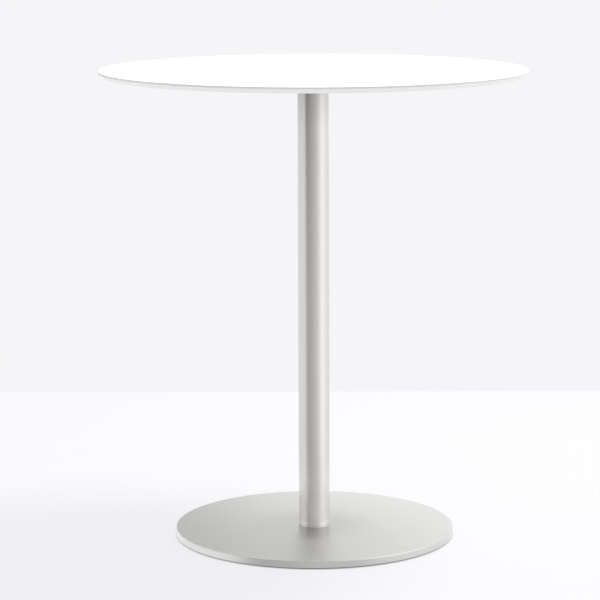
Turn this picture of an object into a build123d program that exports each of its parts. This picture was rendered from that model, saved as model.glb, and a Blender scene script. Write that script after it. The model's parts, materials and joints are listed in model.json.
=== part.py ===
"""A round bistro table: a thin white laminate top with an undercut edge, a brushed steel column and a
weighted disc base. Millimetres, +Z up, origin on the floor under the column's axis.

A cast spider carries the top. One tie rod runs down inside the column, from a nut in the spider's pocket
to a tapped hub on the base, and clamps spider, column and base together. Each of the four levelling
glides is a stud that screws into the base and turns in a pad that stays still on the floor.
Threads are rings of the right pitch, in holes with a small running clearance.
"""

import os

from build123d import *

# Driving dimensions
table_height = 755.0
top_diameter = 680.0
top_thickness = 10.0
base_diameter = 450.0
column_diameter = 50.0
column_wall = 1.5

# Edge of the top: a short upright land over an undercut bevel
edge_land = 3.2
bevel_width = 8.5
edge_easing = 0.5

# Threaded inserts in the underside of the top
insert_radius = 4.2
insert_length = 7.0
insert_pocket_depth = 7.5
insert_groove = 0.4

# Base: a pressed cover over a heavy plate
rim_gap = 2.2
plate_underside = 4.2
plate_thickness = 8.0
cover_sheet = 1.2
cover_outer_bend = 1.5
cover_inner_bend = 0.3
cover_hole_radius = 21.0
plate_clearance = 0.3
plate_chamfer = 1.0

# Spider under the top
hub_height = 20.0
hub_radius = 29.0
arm_count = 4
arm_first_angle = 45.0
arm_screw_radius = 140.0
arm_thickness = 5.0
arm_root_width = 36.0
arm_pad_radius = 13.0
arm_corner_radius = 6.0
rib_thickness = 6.0
rib_root_depth = 11.0
rib_tip_depth = 2.0
rib_length = 118.0
spigot_length = 14.0
spigot_bore_radius = 18.0
pocket_radius = 14.0
pocket_floor = 6.0
cast_edge = 1.0

# Hub at the foot of the column, and its countersunk screws
foot_hub_height = 20.0
hub_screw_count = 3
hub_screw_circle = 15.0
hub_screw_recess = 0.2
hub_screw_turns = 17
hub_screw_hole_depth = 16.0
hub_edge = 1.0

# Glides
glide_count = 4
glide_first_angle = 45.0
glide_circle = 195.0
pad_radius = 15.0
pad_height = 4.0
pad_edge = 0.5
pad_opening_radius = 5.5
pad_notch_count = 16
pad_notch_radius = 1.5
stud_head_radius = 8.0
stud_head_bottom = 1.25
stud_head_height = 1.6
stud_turns = 7
stud_top_gap = 0.3
stud_socket_width = 4.0
stud_socket_depth = 3.5

# Metric fasteners
m6_radius, m6_pitch = 3.0, 1.0
m8_radius, m8_pitch = 4.0, 1.25
m10_radius, m10_pitch = 5.0, 1.5
thread_depth_per_pitch = 0.54
m6_washer_radius, m6_washer_thickness = 6.0, 1.6
m6_button_radius, m6_button_height = 5.25, 3.3
m6_flat_head_radius = 6.0
m6_socket_width, m6_socket_depth = 4.0, 2.0
m10_washer_radius, m10_washer_thickness = 10.0, 2.0
m10_lock_washer_radius, m10_lock_washer_thickness = 9.0, 2.2
m10_lock_washer_slit = 1.0
m10_nut_width, m10_nut_height = 17.0, 8.0
m10_clearance_radius = 5.5
m6_clearance_radius = 3.3
spider_screw_turns = 12
rod_foot_turns = 12
rod_top_turns = 19
rod_shank_radius = 4.6
rod_top_gap = 0.5

# Fits
running_clearance = 0.05
tube_clearance = 0.2

# Derived sizes and heights
top_radius = top_diameter / 2
base_radius = base_diameter / 2
column_radius = column_diameter / 2
column_bore = column_radius - column_wall
top_underside = table_height - top_thickness
plate_top = plate_underside + plate_thickness
cover_top = plate_top + cover_sheet
column_top = top_underside - hub_height
pocket_bottom = column_top + pocket_floor
arm_underside = top_underside - arm_thickness
rod_top = top_underside - rod_top_gap
downward = Plane(origin=(0, 0, plate_underside), x_dir=(1, 0, 0), z_dir=(0, 0, -1))
arm_angles = {"count": arm_count, "start_angle": arm_first_angle}

os.makedirs("parts", exist_ok=True)


def save(builder, name):
    """Labels a finished piece and writes it to parts/."""
    builder.part.label = name
    export_step(builder.part, f"parts/{name}.step")


def thread_points(radius, pitch, start, turns):
    """The outer side of a threaded length going up from start, as (radius, height) points."""
    root = radius - thread_depth_per_pitch * pitch
    points = [(root, start)]
    for turn in range(turns):
        foot = start + turn * pitch
        points.append((radius, foot + 0.4 * pitch))
        points.append((radius, foot + 0.6 * pitch))
        points.append((root, foot + pitch))
    return points


# ------------------------------------------------------------------ top

with BuildPart() as tabletop_panel:
    with BuildSketch(Plane.XZ):
        with BuildLine():
            Polyline(
                (0, top_underside),
                (top_radius - bevel_width, top_underside),
                (top_radius, table_height - edge_land),
                (top_radius, table_height),
                (0, table_height),
                close=True,
            )
        make_face()
    revolve(axis=Axis.Z)
    fillet(tabletop_panel.edges().filter_by(GeomType.CIRCLE).sort_by(Axis.Z)[-1], edge_easing)
    with BuildSketch(Plane.XY.offset(top_underside)):
        with PolarLocations(arm_screw_radius, **arm_angles):
            Circle(insert_radius + running_clearance)
    extrude(amount=insert_pocket_depth, mode=Mode.SUBTRACT)
save(tabletop_panel, "tabletop_panel")

with BuildPart() as threaded_inserts:
    with BuildSketch(Plane.XY.offset(top_underside)):
        with PolarLocations(arm_screw_radius, **arm_angles):
            Circle(insert_radius)
            Circle(m6_radius + running_clearance, mode=Mode.SUBTRACT)
    extrude(amount=insert_length)
    for groove_height in (0.3 * insert_length, 0.7 * insert_length):
        with BuildSketch(Plane.XY.offset(top_underside + groove_height)):
            with PolarLocations(arm_screw_radius, **arm_angles):
                Circle(insert_radius + insert_groove)
                Circle(insert_radius - insert_groove, mode=Mode.SUBTRACT)
        extrude(amount=insert_groove, both=True, mode=Mode.SUBTRACT)
save(threaded_inserts, "threaded_inserts")

# --------------------------------------------------------------- spider

# one arm, along +X: a tapered bar with a round screw pad and a rib that deepens to the hub
with BuildPart() as spider_arm:
    with BuildSketch(Plane.XY.offset(top_underside)):
        Polygon(
            (0, -arm_root_width / 2),
            (arm_screw_radius, -arm_pad_radius),
            (arm_screw_radius, arm_pad_radius),
            (0, arm_root_width / 2),
            align=None,
        )
        with Locations((arm_screw_radius, 0)):
            Circle(arm_pad_radius)
    extrude(amount=-arm_thickness)
    with BuildSketch(Plane.XZ):
        Polygon(
            (0, arm_underside),
            (rib_length, arm_underside),
            (rib_length, arm_underside - rib_tip_depth),
            (hub_radius, arm_underside - rib_root_depth),
            (0, arm_underside - rib_root_depth),
            align=None,
        )
    extrude(amount=rib_thickness / 2, both=True)

with BuildPart() as top_spider:
    with PolarLocations(0, **arm_angles):
        add(spider_arm.part)
    with BuildSketch(Plane.XY.offset(column_top)):
        Circle(hub_radius)
    extrude(amount=hub_height)
    inner_corners = top_spider.edges().filter_by(Axis.Z).filter_by(
        lambda edge: edge.length > arm_thickness / 2
        and hub_radius - 1 < Vector(edge.center().X, edge.center().Y).length < hub_radius + 1
        and edge.center().Z > arm_underside
    )
    fillet(inner_corners, arm_corner_radius)
    chamfer(top_spider.edges().filter_by_position(Axis.Z, column_top, column_top), cast_edge)
    with BuildSketch(Plane.XY.offset(column_top)):
        Circle(column_bore - tube_clearance)
    extrude(amount=-spigot_length)
    chamfer(top_spider.edges().sort_by(Axis.Z)[0], cast_edge)
    with BuildSketch(Plane.XY.offset(column_top - spigot_length)):
        Circle(spigot_bore_radius)
    extrude(amount=spigot_length, mode=Mode.SUBTRACT)
    with BuildSketch(Plane.XY.offset(pocket_bottom)):
        Circle(pocket_radius)
    extrude(amount=hub_height, mode=Mode.SUBTRACT)
    with Locations(Plane.XY.offset(pocket_bottom)):
        Hole(m10_clearance_radius)
    with Locations(Plane.XY.offset(top_underside)):
        with PolarLocations(arm_screw_radius, **arm_angles):
            Hole(m6_clearance_radius)
save(top_spider, "top_spider")

# a button-head screw pointing up, its bearing face at height 0
with BuildPart() as button_screw:
    with BuildSketch(Plane.XZ):
        with BuildLine():
            TangentArc((0, -m6_button_height), (m6_button_radius, 0), tangent=(1, 0))
            Polyline(
                (m6_button_radius, 0),
                *thread_points(m6_radius, m6_pitch, 0, spider_screw_turns),
                (0, spider_screw_turns * m6_pitch),
                (0, -m6_button_height),
            )
        make_face()
    revolve(axis=Axis.Z)
    with BuildSketch(Plane.XY.offset(-m6_button_height)):
        RegularPolygon(m6_socket_width / 2, 6, major_radius=False)
    extrude(amount=m6_socket_depth, mode=Mode.SUBTRACT)

with BuildPart() as spider_screws:
    with Locations(Plane.XY.offset(arm_underside - m6_washer_thickness)):
        with PolarLocations(arm_screw_radius, **arm_angles):
            add(button_screw.part)
save(spider_screws, "spider_screws")

with BuildPart() as spider_washers:
    with BuildSketch(Plane.XY.offset(arm_underside)):
        with PolarLocations(arm_screw_radius, **arm_angles):
            Circle(m6_washer_radius)
            Circle(m6_clearance_radius, mode=Mode.SUBTRACT)
    extrude(amount=-m6_washer_thickness)
save(spider_washers, "spider_washers")

# ------------------------------------------------- tie rod and its nut

with BuildPart() as rod_top_washer:
    with BuildSketch(Plane.XY.offset(pocket_bottom)):
        Circle(m10_washer_radius)
        Circle(m10_clearance_radius, mode=Mode.SUBTRACT)
    extrude(amount=m10_washer_thickness)
save(rod_top_washer, "rod_top_washer")

lock_washer_bottom = pocket_bottom + m10_washer_thickness
with BuildPart() as rod_top_lock_washer:
    with BuildSketch(Plane.XY.offset(lock_washer_bottom)):
        Circle(m10_lock_washer_radius)
        Circle(m10_clearance_radius, mode=Mode.SUBTRACT)
        with Locations((m10_lock_washer_radius, 0)):
            Rectangle(2 * m10_lock_washer_radius, m10_lock_washer_slit, rotation=12, mode=Mode.SUBTRACT)
    extrude(amount=m10_lock_washer_thickness)
save(rod_top_lock_washer, "rod_top_lock_washer")

nut_bottom = lock_washer_bottom + m10_lock_washer_thickness
nut_top = nut_bottom + m10_nut_height
with BuildPart() as rod_top_nut:
    with BuildSketch(Plane.XY.offset(nut_bottom)):
        RegularPolygon(m10_nut_width / 2, 6, major_radius=False)
        Circle(m10_radius + running_clearance, mode=Mode.SUBTRACT)
    extrude(amount=m10_nut_height)
    # the turned cone that rounds the corners at both ends
    with BuildSketch(Plane.XZ):
        with BuildLine():
            Polyline(
                (0, nut_bottom),
                (m10_nut_width / 2 - 0.2, nut_bottom),
                (m10_nut_width / 2 + 1.4, nut_bottom + 0.9),
                (m10_nut_width / 2 + 1.4, nut_top - 0.9),
                (m10_nut_width / 2 - 0.2, nut_top),
                (0, nut_top),
                close=True,
            )
        make_face()
    revolve(axis=Axis.Z, mode=Mode.INTERSECT)
save(rod_top_nut, "rod_top_nut")

foot_hub_top = cover_top + foot_hub_height
rod_foot_start = foot_hub_top - rod_foot_turns * m10_pitch
rod_top_start = rod_top - rod_top_turns * m10_pitch
with BuildPart() as tie_rod:
    with BuildSketch(Plane.XZ):
        with BuildLine():
            Polyline(
                (0, rod_foot_start),
                *thread_points(m10_radius, m10_pitch, rod_foot_start, rod_foot_turns),
                (rod_shank_radius, foot_hub_top),
                (rod_shank_radius, rod_top_start),
                *thread_points(m10_radius, m10_pitch, rod_top_start, rod_top_turns),
                (0, rod_top),
                close=True,
            )
        make_face()
    revolve(axis=Axis.Z)
save(tie_rod, "tie_rod")

# --------------------------------------------------------------- column

with BuildPart() as column_tube:
    with BuildSketch(Plane.XY.offset(cover_top)):
        Circle(column_radius)
        Circle(column_bore, mode=Mode.SUBTRACT)
    extrude(amount=column_top - cover_top)
save(column_tube, "column_tube")

# a turned hub: its boss drops through the cover onto the plate, its shoulder holds the cover down
with BuildPart() as column_foot_hub:
    with BuildSketch(Plane.XY.offset(cover_top)):
        Circle(column_bore - tube_clearance)
    extrude(amount=foot_hub_height)
    chamfer(column_foot_hub.edges().sort_by(Axis.Z)[-1], hub_edge)
    with BuildSketch(Plane.XY.offset(plate_top)):
        Circle(cover_hole_radius - tube_clearance)
    extrude(amount=cover_sheet)
    with Locations(Plane.XY.offset(foot_hub_top)):
        Hole(m10_radius + running_clearance)
    with BuildSketch(Plane.XY.offset(plate_top)):
        with PolarLocations(hub_screw_circle, hub_screw_count):
            Circle(m6_radius + running_clearance)
    extrude(amount=hub_screw_hole_depth, mode=Mode.SUBTRACT)
save(column_foot_hub, "column_foot_hub")

# a flat-head screw pointing up, its head's flat face at height 0
flat_head_height = m6_flat_head_radius - m6_radius
with BuildPart() as flat_screw:
    with BuildSketch(Plane.XZ):
        with BuildLine():
            Polyline(
                (0, 0),
                (m6_flat_head_radius, 0),
                *thread_points(m6_radius, m6_pitch, flat_head_height, hub_screw_turns),
                (0, flat_head_height + hub_screw_turns * m6_pitch),
                close=True,
            )
        make_face()
    revolve(axis=Axis.Z)
    with BuildSketch():
        RegularPolygon(m6_socket_width / 2, 6, major_radius=False)
    extrude(amount=m6_socket_depth, mode=Mode.SUBTRACT)

with BuildPart() as hub_screws:
    with Locations(Plane.XY.offset(plate_underside + hub_screw_recess)):
        with PolarLocations(hub_screw_circle, hub_screw_count):
            add(flat_screw.part)
save(hub_screws, "hub_screws")

# ----------------------------------------------------------------- base

with BuildPart() as base_cover:
    with BuildSketch(Plane.XZ):
        with BuildLine():
            Polyline(
                (cover_hole_radius, plate_top),
                (base_radius - cover_sheet, plate_top),
                (base_radius - cover_sheet, rim_gap),
                (base_radius, rim_gap),
                (base_radius, cover_top),
                (cover_hole_radius, cover_top),
                close=True,
            )
        make_face()
    revolve(axis=Axis.Z)
    inner_bend = base_cover.edges().filter_by_position(Axis.Z, plate_top, plate_top)
    fillet(inner_bend.sort_by(SortBy.RADIUS)[-1], cover_inner_bend)
    outer_bend = base_cover.edges().filter_by_position(Axis.Z, cover_top, cover_top)
    fillet(outer_bend.sort_by(SortBy.RADIUS)[-1], cover_outer_bend)
save(base_cover, "base_cover")

with BuildPart() as ballast_plate:
    with BuildSketch(Plane.XY.offset(plate_underside)):
        Circle(base_radius - cover_sheet - plate_clearance)
    extrude(amount=plate_thickness)
    chamfer(ballast_plate.edges().filter_by(GeomType.CIRCLE), plate_chamfer)
    with Locations(downward):
        with PolarLocations(hub_screw_circle, hub_screw_count):
            CounterSinkHole(
                m6_clearance_radius,
                m6_flat_head_radius + hub_screw_recess + running_clearance,
                counter_sink_angle=90,
            )
        with PolarLocations(glide_circle, glide_count, glide_first_angle):
            Hole(m8_radius + running_clearance)
save(ballast_plate, "ballast_plate")

# --------------------------------------------------------------- glides

# a stud on its axis: a flat head under a threaded shank, with a hex socket in its foot
shank_start = plate_top - stud_top_gap - stud_turns * m8_pitch
with BuildPart() as glide_stud:
    with BuildSketch(Plane.XZ):
        with BuildLine():
            Polyline(
                (0, stud_head_bottom),
                (stud_head_radius, stud_head_bottom),
                (stud_head_radius, stud_head_bottom + stud_head_height),
                (m8_radius - thread_depth_per_pitch * m8_pitch, stud_head_bottom + stud_head_height),
                *thread_points(m8_radius, m8_pitch, shank_start, stud_turns),
                (0, shank_start + stud_turns * m8_pitch),
                close=True,
            )
        make_face()
    revolve(axis=Axis.Z)
    with BuildSketch(Plane.XY.offset(stud_head_bottom)):
        RegularPolygon(stud_socket_width / 2, 6, major_radius=False)
    extrude(amount=stud_socket_depth, mode=Mode.SUBTRACT)

# a pad on its axis: a notched disc, hollow for the stud's head and open below for the key
with BuildPart() as glide_pad:
    with BuildSketch():
        Circle(pad_radius)
        with PolarLocations(pad_radius + pad_notch_radius / 2, pad_notch_count):
            Circle(pad_notch_radius, mode=Mode.SUBTRACT)
    extrude(amount=pad_height)
    chamfer(glide_pad.edges().group_by(Axis.Z)[0], pad_edge)
    with BuildSketch():
        Circle(pad_opening_radius)
    extrude(amount=stud_head_bottom, mode=Mode.SUBTRACT)
    with BuildSketch(Plane.XY.offset(stud_head_bottom - running_clearance)):
        Circle(stud_head_radius + running_clearance)
    extrude(amount=stud_head_height + 2 * running_clearance, mode=Mode.SUBTRACT)
    with BuildSketch(Plane.XY.offset(pad_height)):
        Circle(m8_radius + running_clearance)
    extrude(amount=-pad_height / 2, mode=Mode.SUBTRACT)

glide_spots = PolarLocations(glide_circle, glide_count, glide_first_angle, rotate=False)
for number, spot in enumerate(glide_spots, start=1):
    with BuildPart() as placed_stud:
        with Locations(spot):
            add(glide_stud.part)
    save(placed_stud, f"glide_stud_{number}")
    with BuildPart() as placed_pad:
        with Locations(spot):
            add(glide_pad.part)
    save(placed_pad, f"glide_pad_{number}")
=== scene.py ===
"""The looks of a round bistro table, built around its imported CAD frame. Metres, +Z up, in the CAD's frame.

The three pieces that the eye meets first, the top, the column and the base's cover, are turned again here
with many more segments and with the small roundings that catch light. Every other CAD piece is shown as
packed. All of them get procedural materials.
"""

import json
from math import cos, pi, radians, sin, tan

import bmesh
import bpy
from mathutils import Matrix, Vector


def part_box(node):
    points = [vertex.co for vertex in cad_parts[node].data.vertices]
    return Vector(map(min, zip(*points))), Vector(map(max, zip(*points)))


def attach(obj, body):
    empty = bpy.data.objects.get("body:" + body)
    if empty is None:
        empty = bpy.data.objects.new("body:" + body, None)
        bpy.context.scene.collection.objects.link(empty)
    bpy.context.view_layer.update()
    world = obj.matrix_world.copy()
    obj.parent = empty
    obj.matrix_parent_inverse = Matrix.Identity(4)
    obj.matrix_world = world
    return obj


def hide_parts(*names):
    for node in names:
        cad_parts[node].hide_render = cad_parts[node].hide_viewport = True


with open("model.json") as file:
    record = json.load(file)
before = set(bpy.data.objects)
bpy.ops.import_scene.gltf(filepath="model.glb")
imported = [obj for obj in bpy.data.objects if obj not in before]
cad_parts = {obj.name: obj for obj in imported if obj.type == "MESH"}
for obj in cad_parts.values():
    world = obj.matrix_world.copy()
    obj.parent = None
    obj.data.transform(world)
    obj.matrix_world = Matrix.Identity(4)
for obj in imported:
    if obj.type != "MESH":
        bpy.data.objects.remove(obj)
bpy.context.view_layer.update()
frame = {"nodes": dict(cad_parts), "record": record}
scene = bpy.context.scene
mm = 0.001

# ------------------------------------------------------------------ camera and studio sizes

camera_distance = 3.975
camera_height = 1.0578
camera_turn = 0.0056
camera_pitch = 0.1678
camera_roll = -0.0034
camera_lens = 150.45

floor_size = 14.0
floor_back = 1.13

softbox_place = (1.1, 0.6, 3.1)
softbox_size = 0.95
softbox_power = 92

# ------------------------------------------------------------------ sizes of the turned pieces

top_land = 3.2 * mm
top_bevel_width = 8.5 * mm
top_inner_ring = 220 * mm
tube_wall = 1.5 * mm
cover_sheet = 1.2 * mm
cover_hole = 21 * mm
cover_inner_ring = 120 * mm
foot_band_height = 7.0 * mm
foot_groove_width = 0.7 * mm
foot_groove_depth = 0.25 * mm

# ------------------------------------------------------------------ the finish of the steel

# the base is finer and more mirror-like close round the column, and a pale satin further out; close round
# the column its colour is also darkened, a painted contact shadow round the column's foot
steel_metallic = 0.94
outer_metallic = 0.75
inner_painted_shade = 0.82
inner_anisotropy = 0.95
foot_reach = (0.04, 0.11)

# how pale the column is painted at each height, as a share of its own colour: a painted highlight near its
# foot and painted shade close under the top
column_painted_light = {0.02: 1.56, 0.065: 1.17, 0.12: 1.0, 0.66: 1.0, 0.71: 0.87, 0.745: 0.7}


# ------------------------------------------------------------------ mesh helpers


def rounded_outline(corners, steps=6):
    """An outline through (radius, height, rounding) corners, with an arc at each rounded corner."""
    outline = []
    for index, (radius, height, rounding) in enumerate(corners):
        point = Vector((radius, height))
        if rounding == 0:
            outline.append(point)
            continue
        back = (Vector(corners[index - 1][:2]) - point).normalized()
        ahead = (Vector(corners[(index + 1) % len(corners)][:2]) - point).normalized()
        half_angle = back.angle(ahead) / 2
        centre = point + (back + ahead).normalized() * rounding / sin(half_angle)
        start = (point + back * rounding / tan(half_angle) - centre).normalized()
        end = (point + ahead * rounding / tan(half_angle) - centre).normalized()
        outline += [centre + rounding * start.slerp(end, step / steps) for step in range(steps + 1)]
    return outline


def turned(name, outline, segments, closed=True):
    """A surface of revolution about Z from an outline of (radius, height) points."""
    mesh = bmesh.new()
    rings = []
    for radius, height in outline:
        if radius == 0:
            rings.append([mesh.verts.new((0, 0, height))] * segments)
            continue
        angles = [2 * pi * step / segments for step in range(segments)]
        rings.append([mesh.verts.new((radius * cos(a), radius * sin(a), height)) for a in angles])
    for ring, following in zip(rings, rings[1:] + rings[: 1 if closed else 0]):
        if ring[0] is ring[1] and following[0] is following[1]:
            continue
        for step in range(segments):
            after = (step + 1) % segments
            corners = [ring[step], ring[after], following[after], following[step]]
            mesh.faces.new(list(dict.fromkeys(corners)))
    bmesh.ops.recalc_face_normals(mesh, faces=mesh.faces)
    data = bpy.data.meshes.new(name)
    mesh.to_mesh(data)
    mesh.free()
    piece = bpy.data.objects.new(name, data)
    scene.collection.objects.link(piece)
    return piece


def smooth(piece, sharp_angle=50):
    """Smooth shading that leaves the flats flat: each vertex takes its normal from its largest faces."""
    piece.data.shade_smooth()
    piece.data.set_sharp_from_angle(angle=radians(sharp_angle))
    weighted = piece.modifiers.new("flat_faces_first", "WEIGHTED_NORMAL")
    weighted.keep_sharp = True
    weighted.weight = 90


def plane(name, corners):
    """A single flat face through the given corners."""
    data = bpy.data.meshes.new(name)
    data.from_pydata(corners, [], [range(len(corners))])
    piece = bpy.data.objects.new(name, data)
    scene.collection.objects.link(piece)
    return piece


# ------------------------------------------------------------------ material helpers


def add(tree, kind, inputs=None, **settings):
    """Adds a node. Each input is a value, or another node's output to join."""
    node = tree.nodes.new("ShaderNode" + kind)
    for name, value in settings.items():
        setattr(node, name, value)
    for name, value in (inputs or {}).items():
        if isinstance(value, bpy.types.NodeSocket):
            tree.links.new(value, node.inputs[name])
        else:
            node.inputs[name].default_value = value
    return node


def principled(name, **values):
    """A new material with a Principled shader, whose constant sockets take the given values."""
    material = bpy.data.materials.new(name)
    material.use_nodes = True
    shader = material.node_tree.nodes["Principled BSDF"]
    for socket, value in values.items():
        shader.inputs[socket.replace("_", " ")].default_value = value
    return material, material.node_tree, shader


def noise(tree, scale, detail=3.0, roughness=0.55, distortion=0.0):
    """Noise over the object's own coordinates, stretched by a scale for each axis, in cycles a metre."""
    place = add(tree, "TexCoord").outputs["Object"]
    stretched = add(tree, "Mapping", {"Vector": place, "Scale": scale}).outputs["Vector"]
    inputs = {"Vector": stretched, "Scale": 1.0, "Detail": detail, "Roughness": roughness}
    inputs["Distortion"] = distortion
    return add(tree, "TexNoise", inputs).outputs["Fac"]


def spread(tree, source, low, high, from_low=0.3, from_high=0.7):
    """Maps a noise's usual span to the span low to high."""
    inputs = {"Value": source, "From Min": from_low, "From Max": from_high, "To Min": low, "To Max": high}
    return add(tree, "MapRange", inputs).outputs["Result"]


def blend_colours(tree, factor, first, second):
    """A colour between two colours, each of them three shares or another node's output."""
    node = add(tree, "Mix", data_type="RGBA")
    for socket, value in {0: factor, 6: first, 7: second}.items():
        if isinstance(value, bpy.types.NodeSocket):
            tree.links.new(value, node.inputs[socket])
        else:
            node.inputs[socket].default_value = (*value, 1.0)
    return node.outputs[2]


def total(tree, *sources):
    """The sum of (source, weight) pairs."""
    result = None
    for source, weight in sources:
        term = add(tree, "Math", {0: source, 1: weight}, operation="MULTIPLY").outputs[0]
        if result is not None:
            term = add(tree, "Math", {0: result, 1: term}, operation="ADD").outputs[0]
        result = term
    return result


def bump(tree, height, distance):
    """A normal from a height, whose full swing is distance metres."""
    return add(tree, "Bump", {"Height": height, "Distance": distance}).outputs["Normal"]


# ------------------------------------------------------------------ materials


def from_axis(tree):
    """How far each point is from the object's Z axis."""
    place = add(tree, "SeparateXYZ", {"Vector": add(tree, "TexCoord").outputs["Object"]})
    across = add(tree, "CombineXYZ", {"X": place.outputs["X"], "Y": place.outputs["Y"]})
    return add(tree, "VectorMath", {0: across.outputs["Vector"]}, operation="LENGTH").outputs["Value"]


def scaled(tree, colour, share):
    """A colour made paler or darker by a share."""
    return add(tree, "VectorMath", {0: colour, "Scale": share}, operation="SCALE").outputs[0]


def share_at_height(tree, shares):
    """A share that changes with height, from a map of heights to shares, which are all under 2."""
    place = add(tree, "SeparateXYZ", {"Vector": add(tree, "TexCoord").outputs["Object"]})
    lowest, highest = min(shares), max(shares)
    climb = spread(tree, place.outputs["Z"], 0, 1, lowest, highest)
    ramp = add(tree, "ValToRGB", {"Fac": climb})
    stops = ramp.color_ramp.elements
    while len(stops) < len(shares):
        stops.new(0.5)
    for stop, height in zip(stops, shares):
        stop.position = (height - lowest) / (highest - lowest)
    for stop, share in zip(stops, shares.values()):
        stop.color = (share / 2, share / 2, share / 2, 1)
    return add(tree, "Math", {0: ramp.outputs["Color"], 1: 2.0}, operation="MULTIPLY").outputs[0]


def brushed_steel(
    name, grain, dark, light, roughness, anisotropy, tangent, turn=0.0, foot=0.0, painted_light_by_height=None
):
    """Satin stainless steel. Grain is how often its lines repeat along each axis, in cycles a metre.

    Foot is how much finer the finish is close round the column than far from it; there the colour is also
    darkened as a painted contact shadow. The height map gives how pale the steel is painted at each height,
    as
    a share of its own colour: a painted highlight where the share is over 1, painted shade where it is under
    1.
    """
    material, tree, shader = principled(
        name, Metallic=steel_metallic, Anisotropic=anisotropy, Anisotropic_Rotation=turn
    )
    fine = noise(tree, grain, detail=4.0, roughness=0.65)
    bands = noise(tree, [scale / 2.5 for scale in grain], detail=3.0)
    clouds = noise(tree, (9.0, 9.0, 9.0), detail=3.0)
    tone = total(tree, (fine, 0.5), (bands, 0.35), (clouds, 0.15))
    colour = blend_colours(tree, spread(tree, tone, 0, 1), dark, light)
    rough = total(tree, (fine, 0.4), (bands, 0.2), (clouds, 0.4))
    roughened = spread(tree, rough, *roughness)
    if painted_light_by_height:
        # painted light and shade: the steel's colour is made paler or darker with height
        colour = scaled(tree, colour, share_at_height(tree, painted_light_by_height))
    if foot > 0:
        away = from_axis(tree)
        # painted contact shadow: the colour is darkened close round the column
        colour = scaled(tree, colour, spread(tree, away, inner_painted_shade, 1, *foot_reach))
        finer = spread(tree, away, foot, 0, *foot_reach)
        roughened = add(tree, "Math", {0: roughened, 1: finer}, operation="SUBTRACT").outputs[0]
        stretch = spread(tree, away, inner_anisotropy, anisotropy, *foot_reach)
        metallic = spread(tree, away, steel_metallic, outer_metallic, *foot_reach)
        tree.links.new(stretch, shader.inputs["Anisotropic"])
        tree.links.new(metallic, shader.inputs["Metallic"])
    tree.links.new(colour, shader.inputs["Base Color"])
    tree.links.new(roughened, shader.inputs["Roughness"])
    tree.links.new(bump(tree, total(tree, (fine, 0.7), (bands, 0.3)), 0.0012 * mm), shader.inputs["Normal"])
    tree.links.new(tangent(tree), shader.inputs["Tangent"])
    return material


def round_tangent(tree):
    """The direction around the Z axis."""
    return add(tree, "Tangent", direction_type="RADIAL", axis="Z").outputs["Tangent"]


def uv_tangent(tree):
    """The direction that the piece's brushing map runs in."""
    return add(tree, "Tangent", direction_type="UV_MAP", uv_map="brushing").outputs["Tangent"]


def laminate(name, pale, paler, roughness):
    """White compact laminate with a fine satin texture."""
    material, tree, shader = principled(name, IOR=1.49, Specular_IOR_Level=0.5)
    grit = noise(tree, (2200, 2200, 2200), detail=2.0)
    pearl = noise(tree, (420, 420, 420), detail=3.0)
    clouds = noise(tree, (5, 5, 5), detail=2.0)
    tone = total(tree, (pearl, 0.4), (clouds, 0.6))
    tree.links.new(blend_colours(tree, spread(tree, tone, 0, 1), pale, paler), shader.inputs["Base Color"])
    rough = total(tree, (grit, 0.5), (clouds, 0.5))
    tree.links.new(spread(tree, rough, *roughness), shader.inputs["Roughness"])
    tree.links.new(bump(tree, total(tree, (grit, 0.5), (pearl, 0.5)), 0.02 * mm), shader.inputs["Normal"])
    return material


def cast_metal(name, dark, light):
    """Die-cast alloy: a fine pebbled skin with flow marks."""
    material, tree, shader = principled(name, Metallic=1.0)
    pebbles = noise(tree, (900, 900, 900), detail=3.0, roughness=0.6)
    flow = noise(tree, (60, 60, 60), detail=4.0, distortion=0.6)
    tone = total(tree, (pebbles, 0.4), (flow, 0.6))
    tree.links.new(blend_colours(tree, spread(tree, tone, 0, 1), dark, light), shader.inputs["Base Color"])
    tree.links.new(spread(tree, flow, 0.42, 0.6), shader.inputs["Roughness"])
    tree.links.new(bump(tree, total(tree, (pebbles, 0.7), (flow, 0.3)), 0.12 * mm), shader.inputs["Normal"])
    return material


def plated_metal(name, dark, light, roughness, grain=(700, 700, 700), relief=0.01 * mm):
    """Machined and plated metal, with tool marks along its grain."""
    material, tree, shader = principled(name, Metallic=1.0)
    marks = noise(tree, grain, detail=3.0)
    clouds = noise(tree, (110, 110, 110), detail=3.0)
    tone = total(tree, (marks, 0.4), (clouds, 0.6))
    tree.links.new(blend_colours(tree, spread(tree, tone, 0, 1), dark, light), shader.inputs["Base Color"])
    tree.links.new(spread(tree, clouds, *roughness), shader.inputs["Roughness"])
    tree.links.new(bump(tree, marks, relief), shader.inputs["Normal"])
    return material


def powder_coat(name, dark, light):
    """Black powder coat with its orange-peel skin."""
    material, tree, shader = principled(name, IOR=1.5)
    peel = noise(tree, (650, 650, 650), detail=2.0)
    clouds = noise(tree, (18, 18, 18), detail=4.0)
    tone = total(tree, (peel, 0.5), (clouds, 0.5))
    tree.links.new(blend_colours(tree, spread(tree, tone, 0, 1), dark, light), shader.inputs["Base Color"])
    tree.links.new(spread(tree, clouds, 0.42, 0.58), shader.inputs["Roughness"])
    tree.links.new(bump(tree, peel, 0.06 * mm), shader.inputs["Normal"])
    return material


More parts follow.
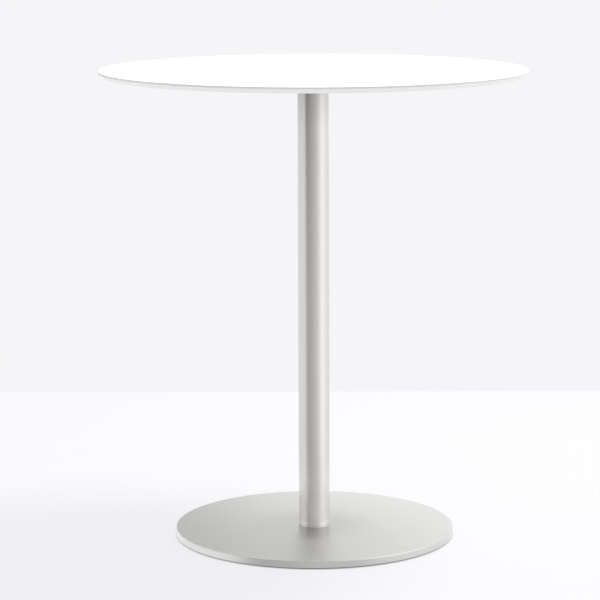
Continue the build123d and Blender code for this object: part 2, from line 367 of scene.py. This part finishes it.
def moulded_nylon(name, dark, worn):
    """Moulded nylon, scuffed paler on the face that slides over the floor."""
    material, tree, shader = principled(name, IOR=1.53)
    skin = noise(tree, (1500, 1500, 1500), detail=2.0)
    scuffs = noise(tree, (90, 420, 90), detail=4.0, distortion=1.2)
    place = add(tree, "TexCoord").outputs["Object"]
    height = add(tree, "SeparateXYZ", {"Vector": place}).outputs["Z"]
    underside = spread(tree, height, 1, 0, 0.0, 0.8 * mm)
    wear = add(tree, "Math", {0: spread(tree, scuffs, 0, 1), 1: underside}, operation="MULTIPLY").outputs[0]
    tree.links.new(blend_colours(tree, wear, dark, worn), shader.inputs["Base Color"])
    tree.links.new(spread(tree, wear, 0.42, 0.7, 0.0, 1.0), shader.inputs["Roughness"])
    tree.links.new(bump(tree, skin, 0.03 * mm), shader.inputs["Normal"])
    return material


def dress(node, material):
    """Gives a CAD node its material."""
    node.data.materials.clear()
    node.data.materials.append(material)


# ------------------------------------------------------------------ the top

panel_low, panel_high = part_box("tabletop_panel")
top_radius = round(panel_high.x, 3)
panel = turned(
    "tabletop",
    rounded_outline(
        [
            (0, panel_low.z, 0),
            (top_inner_ring, panel_low.z, 0),
            (top_radius - top_bevel_width, panel_low.z, 0.5 * mm),
            (top_radius, panel_high.z - top_land, 0.4 * mm),
            (top_radius, panel_high.z, 0.8 * mm),
            (top_inner_ring, panel_high.z, 0),
            (0, panel_high.z, 0),
        ]
    ),
    segments=360,
)
face = laminate("laminate_face", (0.925, 0.925, 0.92), (0.94, 0.94, 0.935), (0.36, 0.46))
# the land and the bevel are the same laminate as the face, painted darker: painted shade on the edge's faces
# that turn away from the light
land = laminate("laminate_land_painted_shade", (0.63, 0.63, 0.62), (0.67, 0.67, 0.66), (0.5, 0.6))
bevel = laminate("laminate_bevel_painted_shade", (0.86, 0.86, 0.85), (0.89, 0.89, 0.88), (0.5, 0.6))
for material in (face, land, bevel):
    panel.data.materials.append(material)
for polygon in panel.data.polygons:
    if abs(polygon.normal.z) < 0.3:
        polygon.material_index = 1
    elif abs(polygon.normal.z) < 0.97:
        polygon.material_index = 2 if polygon.normal.z < 0 else 1
smooth(panel)
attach(panel, "root")
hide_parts("tabletop_panel")

# ------------------------------------------------------------------ the column

tube_low, tube_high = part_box("column_tube")
column_radius = round(tube_high.x, 3)
column_bore = column_radius - tube_wall
foot_band_top = tube_low.z + foot_band_height
column = turned(
    "column",
    rounded_outline(
        [
            (column_bore, tube_low.z, 0.2 * mm),
            (column_radius, tube_low.z, 0.3 * mm),
            (column_radius, foot_band_top - foot_groove_width, 0.1 * mm),
            (column_radius - foot_groove_depth, foot_band_top - foot_groove_width / 2, 0.1 * mm),
            (column_radius, foot_band_top, 0.1 * mm),
            (column_radius, tube_high.z, 0.3 * mm),
            (column_bore, tube_high.z, 0.2 * mm),
        ],
        steps=4,
    ),
    segments=192,
)
column.data.materials.append(
    brushed_steel(
        "column_steel",
        grain=(16, 16, 3200),
        dark=(0.595, 0.585, 0.57),
        light=(0.645, 0.635, 0.62),
        roughness=(0.285, 0.31),
        anisotropy=0.2,
        tangent=round_tangent,
        turn=0.25,
        painted_light_by_height=column_painted_light,
    )
)
# the band below the groove is painted far paler than the rest of the column: a painted highlight ring round
# the foot
column.data.materials.append(
    brushed_steel(
        "column_foot_painted_highlight",
        grain=(16, 16, 3200),
        dark=(0.93, 0.92, 0.905),
        light=(0.98, 0.97, 0.955),
        roughness=(0.3, 0.33),
        anisotropy=0.2,
        tangent=round_tangent,
        turn=0.25,
    )
)
for polygon in column.data.polygons:
    if polygon.center.z < foot_band_top - foot_groove_width:
        polygon.material_index = 1
smooth(column)
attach(column, "root")
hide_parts("column_tube")

# ------------------------------------------------------------------ the base's cover

cover_low, cover_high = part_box("base_cover")
base_radius = round(cover_high.x, 3)
cover_inside = cover_high.z - cover_sheet
cover = turned(
    "base_disc_cover",
    rounded_outline(
        [
            (cover_hole, cover_inside, 0.1 * mm),
            (base_radius - cover_sheet, cover_inside, 0.3 * mm),
            (base_radius - cover_sheet, cover_low.z, 0.2 * mm),
            (base_radius, cover_low.z, 0.3 * mm),
            (base_radius, cover_high.z, 1.5 * mm),
            (cover_inner_ring, cover_high.z, 0),
            (cover_hole, cover_high.z, 0.1 * mm),
        ]
    ),
    segments=320,
)
brushing = cover.data.uv_layers.new(name="brushing")
for loop in cover.data.loops:
    corner = cover.data.vertices[loop.vertex_index].co
    brushing.data[loop.index].uv = (corner.y, corner.x)
cover.data.materials.append(
    brushed_steel(
        "cover_face_steel",
        grain=(14, 3200, 3200),
        dark=(0.485, 0.481, 0.473),
        light=(0.525, 0.521, 0.513),
        roughness=(0.46, 0.51),
        anisotropy=0.6,
        tangent=uv_tangent,
        foot=0.19,
    )
)
cover.data.materials.append(
    brushed_steel(
        "cover_rim_steel",
        grain=(16, 16, 2600),
        dark=(0.575, 0.57, 0.56),
        light=(0.665, 0.66, 0.65),
        roughness=(0.29, 0.36),
        anisotropy=0.6,
        tangent=round_tangent,
        turn=0.25,
    )
)
for polygon in cover.data.polygons:
    if abs(polygon.normal.z) < 0.8:
        polygon.material_index = 1
smooth(cover)
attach(cover, "root")
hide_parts("base_cover")

# ------------------------------------------------------------------ the pieces shown as packed

zinc = plated_metal("zinc_plate", (0.56, 0.565, 0.57), (0.68, 0.685, 0.68), (0.28, 0.42))
brass = plated_metal("turned_brass", (0.66, 0.49, 0.24), (0.76, 0.58, 0.31), (0.25, 0.38))
turned_steel = plated_metal("turned_steel", (0.5, 0.5, 0.5), (0.6, 0.6, 0.6), (0.26, 0.4), (40, 40, 2500))
alloy = cast_metal("cast_alloy", (0.54, 0.545, 0.55), (0.66, 0.665, 0.67))
coat = powder_coat("black_powder_coat", (0.022, 0.022, 0.024), (0.036, 0.036, 0.038))
nylon = moulded_nylon("black_nylon", (0.028, 0.028, 0.03), (0.16, 0.155, 0.15))
by_slot = {
    "zinc_steel": zinc,
    "brass": brass,
    "turned_steel": turned_steel,
    "cast_alloy": alloy,
    "coated_ballast": coat,
    "glide_nylon": nylon,
}
for part in frame["record"]["subparts"]:
    if part["material_slot"] in by_slot:
        dress(frame["nodes"][part["node"]], by_slot[part["material_slot"]])

# ------------------------------------------------------------------ floor, world and light

floor = plane(
    "floor",
    [
        (-floor_size, -floor_size, 0),
        (floor_size, -floor_size, 0),
        (floor_size, floor_back, 0),
        (-floor_size, floor_back, 0),
    ],
)
floor_paint, tree, shader = principled("floor_paint", Roughness=0.9, Specular_IOR_Level=0.0)
shader.inputs["Base Color"].default_value = (0.135, 0.135, 0.137, 1)
shader.inputs["Emission Color"].default_value = (0.75, 0.75, 0.765, 1)
# the floor glows everywhere but under the base, which leaves the glides' gap dark
glow_start, glow_full = 0.965 * base_radius, 1.01 * base_radius
open_floor = spread(tree, from_axis(tree), 0, 1, glow_start, glow_full)
tree.links.new(open_floor, shader.inputs["Emission Strength"])
floor.data.materials.append(floor_paint)
floor.visible_glossy = False

world = bpy.data.worlds.new("studio")
world.use_nodes = True
backdrop = world.node_tree.nodes["Background"]
backdrop.inputs["Color"].default_value = (0.913, 0.913, 0.93, 1)
scene.world = world

# the studio as the metal sees it: how bright it is in each direction round the table, in degrees from
# straight towards the camera, positive to the right. The first share is the floor that the base's rim
# sees. The others are at four heights on the ring round the table, from low to overhead.
studio = {
    -180: (1.1, 1.1, 1.25, 1.5, 2.0),
    -174: (1.1, 1.3, 1.3, 1.3, 1.6),
    -167: (1.1, 1.1, 0.3, 0.2, 0.2),
    -152: (1.15, 1.2, 1.05, 0.95, 0.9),
    -65: (1.22, 1.35, 1.12, 0.95, 1.0),
    -54: (1.2, 1.15, 0.55, 0.05, 0.6),
    -44: (1.12, 1.15, 0.55, 0.15, 0.6),
    -28: (0.64, 1.15, 0.56, 0.4, 0.6),
    2: (0.74, 1.2, 0.74, 0.58, 0.6),
    17: (0.7, 1.3, 0.82, 0.75, 0.7),
    33: (0.78, 1.45, 0.95, 0.93, 0.9),
    49: (0.93, 1.7, 1.33, 1.33, 1.1),
    66: (1.05, 1.8, 1.58, 1.58, 1.2),
    90: (1.1, 1.5, 1.32, 1.35, 1.4),
    130: (1.12, 1.15, 1.1, 1.15, 1.7),
    165: (1.1, 0.9, 1.1, 1.4, 1.8),
    180: (1.1, 1.1, 1.25, 1.5, 2.0),
}

ring_radius = 1.3
ring_bottom = -1.2
ring_top = 2.4

# the heights between which each level of the ring gives way to the next
ring_heights = ((-0.75, -0.25), (0.42, 0.58), (0.75, 1.1))

# how bright the ring's lid is at its front and at its back, and where along Y it changes
lid_front = 1.9
lid_back = 3.6
lid_change = (-0.25, 0.25)

# how close under the lid its own light takes over from the wall's
lid_margin = 0.01

# the floor that the base's rim sees: a flat ring just under the real floor
apron_outer = 0.42
apron_inner = 1.02 * base_radius
apron_height = -0.02


def bearing_share(tree):
    """The direction of each point round the Z axis, as a share of a turn that starts behind the table."""
    place = add(tree, "SeparateXYZ", {"Vector": add(tree, "TexCoord").outputs["Object"]})
    forward = add(tree, "Math", {0: place.outputs["Y"], 1: -1.0}, operation="MULTIPLY").outputs[0]
    bearing = add(tree, "Math", {0: place.outputs["X"], 1: forward}, operation="ARCTAN2").outputs[0]
    return add(tree, "MapRange", {"Value": bearing, "From Min": -pi, "From Max": pi}).outputs["Result"]


def studio_ramp(tree, turn, level):
    """How bright the studio is round the table at one of its levels, halved to stay under 1."""
    ramp = add(tree, "ValToRGB", {"Fac": turn})
    stops = ramp.color_ramp.elements
    while len(stops) < len(studio):
        stops.new(0.5)
    for stop, degrees in zip(stops, studio):
        stop.position = (degrees + 180) / 360
    for stop, levels in zip(stops, studio.values()):
        stop.color = (levels[level] / 2, levels[level] / 2, levels[level] / 2, 1)
    return ramp.outputs["Color"]


def glowing(name):
    """A new material whose tree holds only an emission of twice its colour."""
    material = bpy.data.materials.new(name)
    material.use_nodes = True
    tree = material.node_tree
    tree.nodes.clear()
    emission = add(tree, "Emission", {"Strength": 2.0})
    add(tree, "OutputMaterial", {"Surface": emission.outputs["Emission"]})
    return material, tree, emission.inputs["Color"]


def show_to_metal_only(piece, material):
    """Makes a piece of the studio that is seen in reflections and nowhere else."""
    piece.data.materials.append(material)
    piece.visible_camera = False
    piece.visible_shadow = False
    piece.visible_diffuse = False
    piece.visible_transmission = False


ring_glow, tree, ring_colour = glowing("studio_glow")
turn = bearing_share(tree)
glow = studio_ramp(tree, turn, 1)
place = add(tree, "SeparateXYZ", {"Vector": add(tree, "TexCoord").outputs["Object"]})
for level, (start, end) in enumerate(ring_heights, start=2):
    climb = spread(tree, place.outputs["Z"], 0, 1, start, end)
    glow = blend_colours(tree, climb, glow, studio_ramp(tree, turn, level))
lid = spread(tree, place.outputs["Y"], lid_front / 2, lid_back / 2, *lid_change)
inward = spread(tree, place.outputs["Z"], 0, 1, ring_top - 2 * lid_margin, ring_top - lid_margin)
tree.links.new(blend_colours(tree, inward, glow, lid), ring_colour)
ring_outline = [(ring_radius, ring_bottom), (ring_radius, ring_top), (0, ring_top)]
show_to_metal_only(turned("studio_ring", ring_outline, 128, closed=False), ring_glow)

rim_glow, tree, rim_colour = glowing("rim_glow")
tree.links.new(studio_ramp(tree, bearing_share(tree), 0), rim_colour)
apron_outline = [(apron_outer, apron_height), (apron_inner, apron_height)]
show_to_metal_only(turned("studio_apron", apron_outline, 128, closed=False), rim_glow)


def softbox(name, place, target, size, power):
    """A square area light that faces a target."""
    lamp = bpy.data.lights.new(name, "AREA")
    lamp.shape = "SQUARE"
    lamp.size = size
    lamp.energy = power
    holder = bpy.data.objects.new(name, lamp)
    holder.location = place
    holder.rotation_euler = (Vector(target) - Vector(place)).to_track_quat("-Z", "Y").to_euler()
    holder.visible_glossy = False
    scene.collection.objects.link(holder)


softbox("overhead", softbox_place, (0, 0, 0), softbox_size, softbox_power)

# ------------------------------------------------------------------ camera

lens = bpy.data.cameras.new("camera")
lens.sensor_width = 36
lens.lens = camera_lens
camera = bpy.data.objects.new("camera", lens)
camera.matrix_world = (
    Matrix.Translation((0, -camera_distance, camera_height))
    @ Matrix.Rotation(camera_turn, 4, "Z")
    @ Matrix.Rotation(pi / 2 - camera_pitch, 4, "X")
    @ Matrix.Rotation(camera_roll, 4, "Z")
)
scene.collection.objects.link(camera)
scene.camera = camera
scene.view_settings.view_transform = "Standard"
